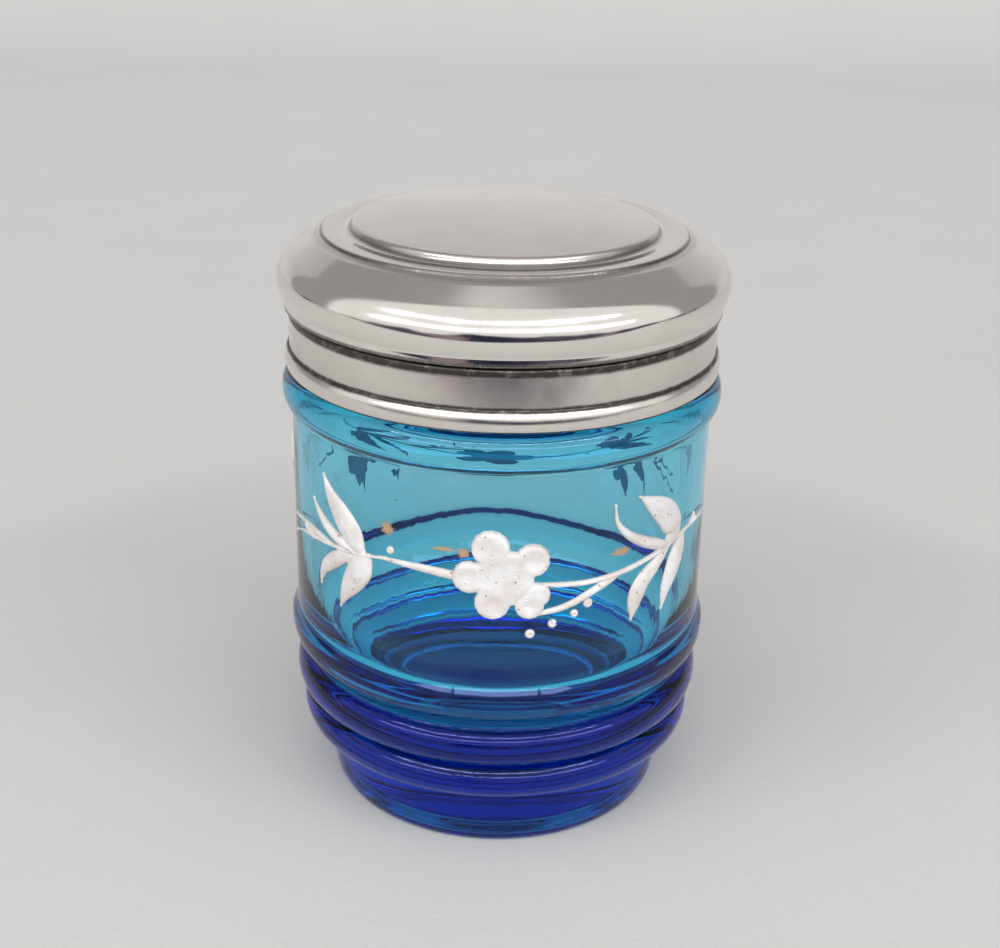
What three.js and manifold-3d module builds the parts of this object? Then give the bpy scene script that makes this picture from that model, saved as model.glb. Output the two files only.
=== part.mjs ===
// Antique dressing-table jar. A glass body with three swelling rings at its foot and one under its shoulder,
// a spun metal collar cemented on its neck, a lid that lifts off, and a garland of raised white enamel.
// Millimetres, +Z up. The jar stands on z = 0 and its front is towards -Y.
import * as THREE from "three";
import { mergeVertices } from "three/addons/utils/BufferGeometryUtils.js";
import Module from "manifold-3d";

const wasm = await Module();
wasm.setup();

// Glass body, from the table up. The panel is the plain wall, and every other radius is set in from it.
const panelRadius = 31.1;
const panelHeight = 32;
const contactWidth = 4.5;
const recessDepth = 1;
const recessSlope = 1.6;
const footEdgeInset = 1.4;
const footEdgeHeight = 3.7;
const footInset = 2;
const footHeight = 10;
const ringHeight = 5.8;
const lowRingInset = 1.6;
const lowRingBulge = 2.55;
const lowRingGap = 0.45;
const middleRingInset = 1.4;
const middleRingBulge = 1.9;
const middleRingGap = 2.15;
const highRingInset = 0.2;
const highRingBulge = 1.1;
const shoulderRingHeight = 5.4;
const shoulderRingInset = 0.2;
const shoulderRingBulge = 1.6;
const neckInset = 1.5;
const neckHeight = 8.1;

// Inside of the glass. The wall is plain down to the bowl, which thickens into a heavy base.
const panelWall = 1.9;
const neckWall = 1.9;
const rimRounding = 0.6;
const bowlStart = 8;
const floorRadius = 10;
const floorThickness = 14;
const floorCrown = 0.3;

// Clearances between the pieces.
const seatGap = 0.3;
const fitGap = 0.1;
const guideGap = 0.4;
const enamelGap = 0.1;

// Cement and metal collar.
const cementWall = 0.7;
const collarWall = 0.8;
const collarCorner = 0.4;
const beadBulge = 0.7;
const beadHeight = 3.1;

// Lid shell. Heights are above its lower edge.
const lidWall = 0.9;
const lidOverhang = 0.6;
const lidRimHeight = 0.7;
const rollBulge = 0.95;
const rollRadius = 4.45;
const rollHeight = 4;
const shoulderInset = 5.45;
const shoulderHeight = 10;
const coveWidth = 0.5;
const coveDepth = 0.15;
const stepInset = 1;
const stepHeight = 10.7;
const discInset = 4.5;
const discHeight = 11.9;
const discRounding = 0.5;
const lidHeight = 13.1;

// Ring soldered inside the lid.
const guideWall = 0.7;
const guideDepth = 4.4;

// Raised enamel on the panel. A garland runs half way round, its line at a share of the panel's height.
const garlandLineShare = 0.523;
const garlandReachShare = 0.42;
const garlandRise = 9.8;
const garlandOffset = 1;
const flowerRadius = 7.3;
const flowerLift = 1;
const leafWidth = 4.6;
const leafLift = 0.8;
const dotRadius = 0.75;
const dotLift = 0.5;

// Facets, and the shares that shape a stroke of enamel.
const turnedSides = 48;
const lobeSides = 14;
const dotSides = 8;
const edgeShare = 0.35;
const thinLiftShare = 0.3;
const domeShare = 0.75;
const mergeShare = 1e-6;

// The high ring's outline below the panel, as shares of its bulge and height. It ends in a plain slope.
const highRingShares = [[0, 0], [0.55, 0.12], [0.91, 0.31], [1, 0.52], [0.98, 0.69]];

// The bowl's curve from the wall to the floor, as shares of its width and depth.
const bowlShares = [
  [1, 0], [0.972, 0.324], [0.887, 0.561], [0.749, 0.749], [0.561, 0.887], [0.324, 0.972], [0, 1],
];

// The sections of a drop and of a stroke of enamel, as shares of its half width and its lift.
const dropSectionShares = [[0, 0], [1, 0], [1, edgeShare], [0.7, 0.85], [0, 1]];
const strokeSectionShares = [[-1, 0], [0, 0], [1, 0], [1, edgeShare], [0, 1], [-1, edgeShare]];

// Radii that follow from the sizes above.
const highRingRoot = panelRadius - highRingInset;
const middleRingRoot = highRingRoot - middleRingInset;
const lowRingRoot = middleRingRoot - lowRingInset;
const footRadius = lowRingRoot - footInset;
const contactRadius = footRadius - footEdgeInset;
const recessRadius = contactRadius - contactWidth;
const shoulderRingRoot = panelRadius - shoulderRingInset;
const neckRadius = panelRadius - neckInset;
const mouthRadius = neckRadius - neckWall;
const cementRadius = neckRadius + fitGap + cementWall;
const collarInner = cementRadius + fitGap;
const collarRadius = collarInner + collarWall;
const lidRimRadius = collarRadius + lidOverhang;
const rollCentreRadius = lidRimRadius + rollBulge - rollRadius;
const shoulderRadius = lidRimRadius + rollBulge - shoulderInset;
const stepRadius = shoulderRadius - stepInset;
const discRadius = stepRadius - discInset;

// Heights that follow from the sizes above.
const lowRingTop = footHeight + ringHeight;
const middleRingBottom = lowRingTop + lowRingGap;
const middleRingTop = middleRingBottom + ringHeight;
const highRingBottom = middleRingTop + middleRingGap;
const panelBottom = highRingBottom + ringHeight;
const panelTop = panelBottom + panelHeight;
const neckBottom = panelTop + shoulderRingHeight;
const neckTop = neckBottom + neckHeight;
const collarBottom = neckBottom + seatGap;
const collarTop = neckTop + seatGap + collarWall;
const lidBottom = collarTop + seatGap;
const garlandLine = panelBottom + garlandLineShare * panelHeight;
const garlandReach = garlandReachShare * Math.PI * panelRadius;
const garlandTurn = garlandOffset / panelRadius;

// Points on an oval about [radius, height], from one angle to another in degrees, counted from the outward
// level direction towards the top.
function oval([centreRadius, centreHeight], across, up, from, to, steps) {
  return Array.from({ length: steps + 1 }, (_, i) => {
    const angle = THREE.MathUtils.degToRad(from + ((to - from) * i) / steps);
    return [centreRadius + across * Math.cos(angle), centreHeight + up * Math.sin(angle)];
  });
}

// The outline of a swelling ring, from its lower root to its upper one.
function swelling(bottom, height, root, bulge, steps = 5) {
  return oval([root, bottom + height / 2], bulge, height / 2, -90, 90, steps);
}

// A body of revolution about Z from [radius, height] points. An outline that doesn't meet the axis is closed.
function turned(outline) {
  const points = outline.map(([radius, height]) => new THREE.Vector2(radius, height));
  if (outline[0][0] > 0) points.push(points[0].clone());
  return new THREE.LatheGeometry(points, turnedSides).rotateX(Math.PI / 2);
}

function glassJar() {
  const innerPanel = panelRadius - panelWall;
  const bowlWidth = innerPanel - floorRadius;
  const bowlTop = panelBottom + bowlStart;
  const bowlDepth = bowlTop - floorThickness;
  return turned([
    [0, recessDepth],
    [recessRadius - recessSlope, recessDepth],
    [recessRadius, 0],
    ...oval([contactRadius, footEdgeHeight], footEdgeInset, footEdgeHeight, -90, 0, 4),
    [footRadius, footHeight],
    ...swelling(footHeight, ringHeight, lowRingRoot, lowRingBulge),
    ...swelling(middleRingBottom, ringHeight, middleRingRoot, middleRingBulge),
    ...highRingShares.map(([out, up]) => [
      highRingRoot + highRingBulge * out,
      highRingBottom + ringHeight * up,
    ]),
    [panelRadius, panelBottom],
    [panelRadius, panelTop],
    ...swelling(panelTop, shoulderRingHeight, shoulderRingRoot, shoulderRingBulge),
    [neckRadius, neckBottom],
    [neckRadius, neckTop - rimRounding],
    [neckRadius - rimRounding, neckTop],
    [mouthRadius + rimRounding, neckTop],
    [mouthRadius, neckTop - rimRounding],
    [mouthRadius, neckBottom],
    [innerPanel, panelTop],
    ...bowlShares.map(([out, down]) => [floorRadius + bowlWidth * out, bowlTop - bowlDepth * down]),
    [0, floorThickness + floorCrown],
  ]);
}

function cementRing() {
  return turned([
    [neckRadius + fitGap, neckBottom + fitGap],
    [cementRadius, neckBottom + fitGap],
    [cementRadius, neckTop],
    [neckRadius + fitGap, neckTop],
  ]);
}

function collar() {
  return turned([
    [collarInner, collarBottom],
    ...swelling(collarBottom, beadHeight, collarRadius, beadBulge),
    [collarRadius, collarTop - collarCorner],
    [collarRadius - collarCorner, collarTop],
    [mouthRadius, collarTop],
    [mouthRadius, collarTop - collarWall],
    [collarInner, collarTop - collarWall],
  ]);
}

// The lid's outline runs from the inner edge of its rim up the outside to the middle of the disc, and back
// inside the sheet. A straight slope leaves the rolled edge where it points at the shoulder.
function lidShell() {
  const rimInner = lidRimRadius - lidWall;
  const centre = [rollCentreRadius, lidBottom + rollHeight];
  const across = shoulderRadius - rollCentreRadius;
  const up = shoulderHeight - rollHeight;
  const slopeAngle = Math.atan2(up, across) - Math.acos(rollRadius / Math.hypot(across, up));
  const rimAngle = -Math.acos((lidRimRadius - rollCentreRadius) / rollRadius);
  const [from, to] = [rimAngle, slopeAngle].map(THREE.MathUtils.radToDeg);
  const inner = rollRadius - lidWall;
  const coveBottom = shoulderHeight - coveDepth;
  return turned([
    [rimInner, lidBottom],
    [lidRimRadius, lidBottom],
    [lidRimRadius, lidBottom + lidRimHeight],
    ...oval(centre, rollRadius, rollRadius, from, to, 8),
    [shoulderRadius, lidBottom + shoulderHeight],
    [shoulderRadius - coveWidth, lidBottom + coveBottom],
    [stepRadius, lidBottom + stepHeight],
    [discRadius + coveWidth, lidBottom + stepHeight - coveDepth],
    [discRadius, lidBottom + discHeight - discRounding],
    [discRadius - discRounding, lidBottom + discHeight],
    [discRadius / 2, lidBottom + discHeight + domeShare * (lidHeight - discHeight)],
    [0, lidBottom + lidHeight],
    [0, lidBottom + lidHeight - lidWall],
    [discRadius - lidWall, lidBottom + discHeight - lidWall],
    [discRadius - lidWall, lidBottom + stepHeight - coveDepth - lidWall],
    [stepRadius - lidWall, lidBottom + stepHeight - coveDepth - lidWall],
    [stepRadius - lidWall, lidBottom + coveBottom - lidWall],
    [shoulderRadius, lidBottom + coveBottom - lidWall],
    ...oval(centre, inner, inner, to, from, 6),
    [rimInner, lidBottom + lidRimHeight],
  ]);
}

function lidGuideRing() {
  const tubeOuter = mouthRadius - guideGap;
  const flangeOuter = lidRimRadius - lidWall - fitGap;
  const flangeTop = lidBottom + guideWall;
  return turned([
    [tubeOuter - guideWall, collarTop - guideDepth],
    [tubeOuter, collarTop - guideDepth],
    [tubeOuter, lidBottom],
    [flangeOuter, lidBottom],
    [flangeOuter, flangeTop],
    [tubeOuter - guideWall, flangeTop],
  ]);
}

// The place on the glass of an arc and a height, a lift above it, at a garland turned round the jar.
function onPanel(arc, height, lift, turn) {
  const radius = panelRadius + enamelGap + lift;
  const angle = arc / panelRadius + turn;
  return [radius * Math.sin(angle), -radius * Math.cos(angle), garlandLine + height];
}

// A closed mesh as a solid. Doubled vertices are merged and the flat triangles at a pole are dropped.
function solid(geometry) {
  const bare = new THREE.BufferGeometry();
  bare.setAttribute("position", geometry.getAttribute("position"));
  bare.setIndex(geometry.getIndex());
  const merged = mergeVertices(bare, mergeShare * panelRadius);
  const corners = merged.getIndex().array;
  const kept = [];
  for (let i = 0; i < corners.length; i += 3) {
    const [a, b, c] = corners.slice(i, i + 3);
    if (a !== b && b !== c && c !== a) kept.push(a, b, c);
  }
  const vertProperties = new Float32Array(merged.getAttribute("position").array);
  return new wasm.Manifold(new wasm.Mesh({ numProp: 3, vertProperties, triVerts: new Uint32Array(kept) }));
}

function geometryOf(manifold) {
  const { vertProperties, triVerts } = manifold.getMesh();
  const geometry = new THREE.BufferGeometry();
  geometry.setAttribute("position", new THREE.BufferAttribute(vertProperties, 3));
  geometry.setIndex(new THREE.BufferAttribute(triVerts, 1));
  geometry.computeVertexNormals();
  return geometry;
}

// A round, domed drop of enamel.
function drop(arc, height, radius, lift, sides, turn) {
  const points = dropSectionShares.map(([across, up]) => new THREE.Vector2(radius * across, lift * up));
  const geometry = new THREE.LatheGeometry(points, sides).rotateX(Math.PI / 2);
  const position = geometry.getAttribute("position");
  for (let i = 0; i < position.count; i += 1) {
    const [x, y, z] = [position.getX(i), position.getY(i), position.getZ(i)];
    position.setXYZ(i, ...onPanel(arc + x, height + y, z, turn));
  }
  return geometry;
}

// How full a brush stroke is at a share of its length: it swells to 1 and thins to its two ends.
function fullness(along, { fullestShare, startShare, endShare }) {
  const rising = along < fullestShare;
  const end = rising ? startShare : endShare;
  const swell = rising ? along / fullestShare : (1 - along) / (1 - fullestShare);
  return end + (1 - end) * Math.sin((swell * Math.PI) / 2);
}

// A stroke of the brush: a low ridge along a curve, as wide and as high as the brush left it.
function stroke(shares, turn) {
  const path = shares.path.map(([x, y]) => new THREE.Vector3(x * garlandReach, y * garlandRise, 0));
  const curve = new THREE.CatmullRomCurve3(path, false, "centripetal");
  const rings = [];
  for (let i = 0; i <= shares.steps; i += 1) {
    const along = i / shares.steps;
    const full = fullness(along, shares);
    const half = (leafWidth * shares.widthShare * full) / 2;
    const lift = leafLift * (thinLiftShare + (1 - thinLiftShare) * full) * shares.liftShare;
    const centre = curve.getPointAt(along);
    const forward = curve.getTangentAt(along);
    rings.push(strokeSectionShares.map(([side, up]) => {
      const arc = centre.x + forward.y * half * side;
      const height = centre.y - forward.x * half * side;
      return onPanel(arc, height, lift * up, turn);
    }));
  }
  const count = rings[0].length;
  const triangles = [];
  for (let i = 0; i < shares.steps; i += 1) {
    for (let j = 0; j < count; j += 1) {
      const [a, b] = [i * count + j, i * count + ((j + 1) % count)];
      triangles.push(a, a + count, b, b, a + count, b + count);
    }
  }
  const last = shares.steps * count;
  for (let j = 1; j < count - 1; j += 1) {
    triangles.push(0, j, j + 1, last, last + j + 1, last + j);
  }
  const geometry = new THREE.BufferGeometry();
  geometry.setAttribute("position", new THREE.Float32BufferAttribute(rings.flat(2), 3));
  geometry.setIndex(triangles);
  return geometry;
}

// Lobes of the flower: [arc, height, radius] as shares of its radius.
const lobeShares = [
  [0, 0, 0.5],
  [-0.28, 0.61, 0.37],
  [0.5, 0.37, 0.34],
  [-0.67, 0.01, 0.33],
  [-0.23, -0.49, 0.35],
  [0.46, -0.55, 0.29],
  [0.61, -0.34, 0.25],
];

// Strokes as paths from a thick root to a thin tip, in shares of the garland's reach and rise.
const leafEnds = { startShare: 0.35, endShare: 0.05, liftShare: 1, steps: 8 };
const stemEnds = { startShare: 0.6, endShare: 0.5, liftShare: 0.7, steps: 12 };
const leftStrokeShares = [
  {
    ...stemEnds, widthShare: 0.31, fullestShare: 0.15, endShare: 0.3, steps: 6,
    path: [[-0.16, -0.01], [-0.25, 0.04], [-0.34, 0.06], [-0.44, 0.07]],
  },
  {
    ...stemEnds, widthShare: 0.14, fullestShare: 0.4, steps: 12,
    path: [[-0.42, 0.07], [-0.55, 0], [-0.67, -0.04], [-0.79, -0.1], [-0.89, -0.17], [-0.99, -0.33]],
  },
  {
    ...stemEnds, widthShare: 0.14, fullestShare: 0.1, steps: 6,
    path: [[-0.66, -0.04], [-0.79, 0.03], [-0.87, 0.02], [-0.98, -0.05]],
  },
  {
    ...leafEnds, widthShare: 0.28, fullestShare: 0.5, steps: 5,
    path: [[-0.74, -0.07], [-0.8, -0.07], [-0.88, 0.02]],
  },
  {
    ...leafEnds, widthShare: 0.93, fullestShare: 0.3,
    path: [[-0.52, 0.03], [-0.56, 0.25], [-0.615, 0.49], [-0.68, 0.76], [-0.717, 1]],
  },
  {
    ...leafEnds, widthShare: 0.35, fullestShare: 0.4,
    path: [[-0.55, 0.01], [-0.64, 0.12], [-0.71, 0.26], [-0.76, 0.41], [-0.79, 0.53]],
  },
  {
    ...leafEnds, widthShare: 0.57, fullestShare: 0.45,
    path: [[-0.55, -0.06], [-0.615, -0.15], [-0.68, -0.33], [-0.727, -0.52], [-0.75, -0.78]],
  },
  {
    ...leafEnds, widthShare: 0.95, fullestShare: 0.28,
    path: [[-0.49, 0.03], [-0.52, -0.16], [-0.555, -0.4], [-0.6, -0.68], [-0.63, -0.96]],
  },
];
const rightStrokeShares = [
  {
    ...stemEnds, widthShare: 0.18, fullestShare: 0.1, steps: 18,
    path: [
      [0.11, -0.11], [0.21, -0.14], [0.29, -0.15], [0.41, -0.11], [0.53, -0.03], [0.65, 0.05],
      [0.73, 0.12], [0.8, 0.14], [0.85, 0.14], [0.94, 0.12], [1, 0.09],
    ],
  },
  {
    ...stemEnds, widthShare: 0.26, fullestShare: 0.8, endShare: 0.3, steps: 6,
    path: [[0.1, -0.56], [0.18, -0.51], [0.24, -0.43], [0.29, -0.33], [0.35, -0.22], [0.41, -0.13]],
  },
  {
    ...leafEnds, widthShare: 0.16, fullestShare: 0.5, steps: 3,
    path: [[0.8, 0.14], [0.815, 0.2], [0.83, 0.27]],
  },
  {
    ...leafEnds, widthShare: 1, fullestShare: 0.32,
    path: [[0.64, 0.05], [0.668, 0.26], [0.632, 0.52], [0.566, 0.74], [0.48, 0.98]],
  },
  {
    ...leafEnds, widthShare: 0.4, fullestShare: 0.25,
    path: [[0.64, 0.05], [0.56, 0.17], [0.5, 0.28], [0.434, 0.46], [0.39, 0.68], [0.38, 0.94]],
  },
  {
    ...leafEnds, widthShare: 0.8, fullestShare: 0.35,
    path: [[0.735, 0.1], [0.702, -0.18], [0.67, -0.43], [0.64, -0.67], [0.622, -0.96]],
  },
  {
    ...leafEnds, widthShare: 0.66, fullestShare: 0.65,
    path: [[0.64, 0.04], [0.583, -0.15], [0.517, -0.35], [0.485, -0.57], [0.468, -0.93]],
  },
];
const sideLeafShares = {
  ...leafEnds, widthShare: 0.6, fullestShare: 0.35,
  path: [[0, 0.28], [0.02, 0.55], [0, 0.8], [-0.03, 1.06]],
};

// Dots beside the stems: [arc, height, radius] as shares of the reach, the rise and the dot's radius.
const dotShares = [
  [0.288, -0.48, 1],
  [0.239, -0.61, 0.84],
  [0.163, -0.73, 0.9],
  [0.087, -0.87, 0.96],
  [-0.4, 0.22, 0.82],
];

// The flower with its lobes grown by a gap, or as it is.
function flower(turn, growth) {
  const lobes = lobeShares.map(([arc, height, radius]) => solid(drop(
    arc * flowerRadius, height * flowerRadius, radius * flowerRadius + growth, flowerLift, lobeSides, turn,
  )));
  return lobes.reduce((whole, lobe) => whole.add(lobe));
}

// A branch: its strokes run into each other, and end just short of the flower.
function branch(strokeShares, turn) {
  const strokes = strokeShares.map((shares) => solid(stroke(shares, turn)));
  return strokes.reduce((whole, next) => whole.add(next)).subtract(flower(turn, enamelGap));
}

const glass = { color: 0x2c8fc4, roughness: 0.06, metalness: 0, transparent: true, opacity: 0.6 };
const plaster = { color: 0xcfc8b8, roughness: 0.95, metalness: 0 };
const plate = { color: 0xc9c6c2, roughness: 0.28, metalness: 1 };
const dullPlate = { color: 0xa8a49e, roughness: 0.42, metalness: 1 };
const enamel = { color: 0xf2efee, roughness: 0.35, metalness: 0 };

function piece(name, geometry, finish) {
  const mesh = new THREE.Mesh(geometry, new THREE.MeshStandardMaterial(finish));
  mesh.name = name;
  return mesh;
}

const jar = new THREE.Group();
jar.add(
  piece("glass_jar", glassJar(), glass),
  piece("cement_ring", cementRing(), plaster),
  piece("collar", collar(), plate),
);

const lid = new THREE.Group();
lid.add(
  piece("lid_shell", lidShell(), plate),
  piece("lid_guide_ring", lidGuideRing(), dullPlate),
);

const garland = new THREE.Group();
for (const [side, turn] of [["front", garlandTurn], ["back", Math.PI + garlandTurn]]) {
  garland.add(
    piece(`enamel_flower_${side}`, geometryOf(flower(turn, 0)), enamel),
    piece(`enamel_branch_left_${side}`, geometryOf(branch(leftStrokeShares, turn)), enamel),
    piece(`enamel_branch_right_${side}`, geometryOf(branch(rightStrokeShares, turn)), enamel),
  );
  dotShares.forEach(([arc, height, radius], i) => {
    const dot = drop(arc * garlandReach, height * garlandRise, radius * dotRadius, dotLift, dotSides, turn);
    garland.add(piece(`enamel_dot_${side}_${i + 1}`, dot, enamel));
  });
}
for (const [side, turn] of [["left", -Math.PI / 2], ["right", Math.PI / 2]]) {
  garland.add(piece(`enamel_leaf_${side}`, stroke(sideLeafShares, turn), enamel));
}

const object = new THREE.Group();
object.add(jar, lid, garland);

export default object;
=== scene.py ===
# %% [markdown]
# This lesson dresses a small dressing-table jar: blue moulded glass, a spun metal collar and lid, and a
# garland of raised white enamel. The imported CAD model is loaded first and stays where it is. Each piece is
# then modelled again with finer form in the same place, so that it follows the CAD body that it rides on.

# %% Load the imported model
import math

import bmesh
import bpy
import numpy as np
from mathutils import Matrix, Vector, noise


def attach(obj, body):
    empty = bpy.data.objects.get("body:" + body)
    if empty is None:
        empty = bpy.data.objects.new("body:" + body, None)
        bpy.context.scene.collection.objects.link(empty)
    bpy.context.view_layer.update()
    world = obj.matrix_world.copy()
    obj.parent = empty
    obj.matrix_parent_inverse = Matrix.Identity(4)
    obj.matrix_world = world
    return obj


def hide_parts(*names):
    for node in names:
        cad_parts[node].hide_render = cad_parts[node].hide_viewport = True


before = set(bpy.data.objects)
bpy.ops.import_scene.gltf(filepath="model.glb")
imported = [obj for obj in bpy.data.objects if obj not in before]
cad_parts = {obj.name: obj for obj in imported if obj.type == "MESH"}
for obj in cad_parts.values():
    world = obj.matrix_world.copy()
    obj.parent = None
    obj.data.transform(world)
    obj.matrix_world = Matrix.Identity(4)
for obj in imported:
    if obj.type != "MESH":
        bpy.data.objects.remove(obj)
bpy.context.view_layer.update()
mm = 0.001

# %% [markdown]
# Glass, collar and lid were all turned or spun round one axis, so each starts as half of its section: a
# line of points as [radius, height] in millimetres. Part of an oval is the only curve that they need.

# %% Curves for a half section


def oval(centre, across, up, start, end, steps=12):
    """Points on part of an oval. Angles are in degrees, from level outwards towards the top."""
    angles = [math.radians(start + (end - start) * i / steps) for i in range(steps + 1)]
    return [(centre[0] + across * math.cos(a), centre[1] + up * math.sin(a)) for a in angles]


def swelling(bottom, height, root, bulge, steps=24):
    """A ring that swells out of a wall, from its lower root to its upper one."""
    return oval((root, bottom + height / 2), bulge, height / 2, -90, 90, steps)


# %% [markdown]
# Fire polishing and a spinner's roller leave no sharp corner. The section is therefore walked in small even
# steps and each step is averaged with its neighbours, which rounds every corner by about the same amount.
# At the axis the line is mirrored, so that the middle stays level.

# %% Soften a section


def softened(outline, step, blur):
    """The outline in even steps with rounded corners, both in millimetres. Ends on the axis stay there."""
    line = np.array(outline, float)
    along = np.r_[0, np.cumsum(np.hypot(*np.diff(line, axis=0).T))]
    places = np.linspace(0, along[-1], int(along[-1] / step) + 1)
    even = np.c_[np.interp(places, along, line[:, 0]), np.interp(places, along, line[:, 1])]
    reach = int(4 * blur / places[1]) + 1
    weights = np.exp(-0.5 * (np.arange(-reach, reach + 1) * places[1] / blur) ** 2)
    weights /= weights.sum()
    if outline[0][0] == 0:
        before, after = even[1:reach + 1][::-1] * [-1, 1], even[-reach - 1:-1][::-1] * [-1, 1]
    else:
        before, after = even[-reach - 1:-1], even[1:reach + 1]
    longer = np.r_[before, even, after]
    round_line = np.c_[tuple(np.convolve(column, weights, "valid") for column in longer.T)]
    if outline[0][0] == 0:
        round_line[0, 0] = round_line[-1, 0] = 0
    return [tuple(point) for point in round_line]


# %% [markdown]
# Spin is Blender's lathe. A full spin merges its last copy with its first. The points on the axis are
# copied with the rest, so they are merged afterwards, and then the faces are all turned outwards.

# %% Spin a section into a body


def spun(outline, steps=192):
    """A closed body of revolution about the vertical axis."""
    body = bmesh.new()
    corners = [body.verts.new((radius * mm, 0, height * mm)) for radius, height in outline]
    edges = [body.edges.new(pair) for pair in zip(corners, corners[1:])]
    if outline[0][0] > 0 and outline[0] != outline[-1]:
        edges.append(body.edges.new((corners[-1], corners[0])))
    bmesh.ops.spin(
        body, geom=corners + edges, cent=(0, 0, 0), axis=(0, 0, 1), angle=2 * math.pi, steps=steps,
        use_merge=True, use_duplicate=False,
    )
    bmesh.ops.remove_doubles(body, verts=body.verts, dist=0.002 * mm)
    bmesh.ops.recalc_face_normals(body, faces=body.faces)
    return body


def put_down(name, shape, material, body, nodes=()):
    """Makes an object of a finished shape, hangs it on the body that it rides on and hides the CAD nodes it
    stands for.
    """
    mesh = bpy.data.meshes.new(name)
    shape.to_mesh(mesh)
    shape.free()
    mesh.shade_smooth()
    mesh.materials.append(material)
    piece = bpy.data.objects.new(name, mesh)
    bpy.context.scene.collection.objects.link(piece)
    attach(piece, body)
    if nodes:
        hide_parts(*nodes)
    triangles = sum(len(face.vertices) - 2 for face in mesh.polygons)
    print(f"{name}: {triangles} triangles, {[round(size / mm, 2) for size in piece.dimensions]} mm")
    return piece


# %% [markdown]
# A material is a small net of nodes. This helper adds one node, sets the sockets that are given as numbers
# and links those that are given as another node's output, so a finish reads as one line for each of its
# causes.

# %% Helpers for materials


def new_material(name):
    """A material with an empty net, its surface shader and its output."""
    material = bpy.data.materials.new(name)
    material.use_nodes = True
    return material, material.node_tree, material.node_tree.nodes["Principled BSDF"]


def node(tree, kind, settings=None, **sockets):
    """Adds a node. Sockets are named with _ for a space, or s0, s1 for the first, second and so on."""
    made = tree.nodes.new("ShaderNode" + kind)
    for key, value in (settings or {}).items():
        setattr(made, key, value)
    for key, value in sockets.items():
        numbered = key[0] == "s" and key[1:].isdigit()
        socket = made.inputs[int(key[1:]) if numbered else key.replace("_", " ")]
        if isinstance(value, bpy.types.NodeSocket):
            tree.links.new(value, socket)
        else:
            socket.default_value = value
    return made


def calc(tree, operation, first, second=0.0, clamp=False):
    """A Math node's result."""
    return node(tree, "Math", {"operation": operation, "use_clamp": clamp}, s0=first, s1=second).outputs[0]


def steps_of(tree, value, stops, smooth=True):
    """A value looked up on a line of [place, level] stops."""
    ramp = node(tree, "ValToRGB", Fac=value)
    ramp.color_ramp.interpolation = "EASE" if smooth else "LINEAR"
    while len(ramp.color_ramp.elements) < len(stops):
        ramp.color_ramp.elements.new(0.5)
    for element, (place, level) in zip(ramp.color_ramp.elements, stops):
        element.position = place
        element.color = level if isinstance(level, tuple) else (level, level, level, 1)
    return ramp.outputs[0]


def ramp_of(tree, value, low, high):
    """0 below low, 1 above high and even between them."""
    return node(tree, "MapRange", Value=value, From_Min=low, From_Max=high).outputs[0]


def noise_of(
    tree, coordinates, size, detail=3.0, roughness=0.55, stretch=(1, 1, 1), turn=(0, 0, 0), shift=(0, 0, 0),
):
    """Cloudy noise from 0 to 1 whose patches are about size millimetres across."""
    placed = node(tree, "Mapping", Vector=coordinates, Scale=stretch, Rotation=turn, Location=shift)
    return node(
        tree, "TexNoise", Vector=placed.outputs[0], Scale=1 / (size * mm), Detail=detail,
        Roughness=roughness,
    ).outputs["Fac"]


def between(tree, amount, low, high):
    """A colour or value mixed from low to high."""
    return node(tree, "MixRGB", Fac=amount, Color1=low, Color2=high).outputs[0]


# %% [markdown]
# The glass was pressed in a ringed mould and its inside follows a rounded plunger: a thin upright wall, and
# a bowl that thickens towards a heavy base. Light that passes the base travels through seven times as much
# glass as in the wall, which is what turns one pale turquoise glass into deep navy there. So the colour has
# to come from absorption inside a closed solid of the right thickness, not from a surface colour.

# %% Section of the glass
panel_radius, panel_bottom, panel_top = 31.1, 30.1, 62.0
contact_radius, foot_edge_width, foot_edge_height = 24.5, 1.4, 3.7
foot_radius, neck_radius, rim_height, rim_rounding = 25.9, 29.6, 75.5, 0.6
# Each ring's lower root, height, root radius and bulge.
low_ring, middle_ring = (10, 5.8, 27.9, 2.55), (16.25, 5.8, 29.5, 1.9)
shoulder_ring = (panel_top, 5.4, 30.9, 1.6)
# The high ring bulges quickly and runs out in a plain slope up to the panel.
high_ring = [(30.9, 24.2), (31.5, 24.9), (31.9, 26.0), (32.0, 27.2), (31.98, 28.2)]
hollow_under = [(0, 1.0), (18.4, 1.0), (19.6, 0.4), (20, 0)]
glass_outside = (
    hollow_under
    + oval((contact_radius, foot_edge_height), foot_edge_width, foot_edge_height, -90, 0)
    + [(foot_radius, 9.8)]
    + swelling(*low_ring)
    + swelling(*middle_ring)
    + high_ring
    + [(panel_radius, panel_bottom), (panel_radius, 61.6)]
    + swelling(*shoulder_ring)
    + [(neck_radius, 67.8), (neck_radius, rim_height - rim_rounding)]
    + [(neck_radius - rim_rounding, rim_height)]
)
mouth_radius, wall_radius = 27.7, 29.2
bowl_top, bowl_floor, floor_radius, bowl_fullness = 38.0, 14.0, 10.0, 2.4
glass_inside = [(mouth_radius + rim_rounding, rim_height), (mouth_radius, rim_height - rim_rounding)]
glass_inside += [(mouth_radius, 69.2), (27.9, 67.2), (28.6, 64.7), (wall_radius, 62.2)]
for across, up in oval((0, 0), 1, 1, 0, -90, 40):
    glass_inside.append((
        floor_radius + (wall_radius - floor_radius) * max(across, 0) ** (2 / bowl_fullness),
        bowl_top - (bowl_top - bowl_floor) * abs(up) ** (2 / bowl_fullness),
    ))
glass_inside += [(6, 14.15), (3, 14.25), (0, 14.3)]
glass_section = softened(glass_outside + glass_inside, step=0.4, blur=0.25)
print("glass section has", len(glass_section), "points")

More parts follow.
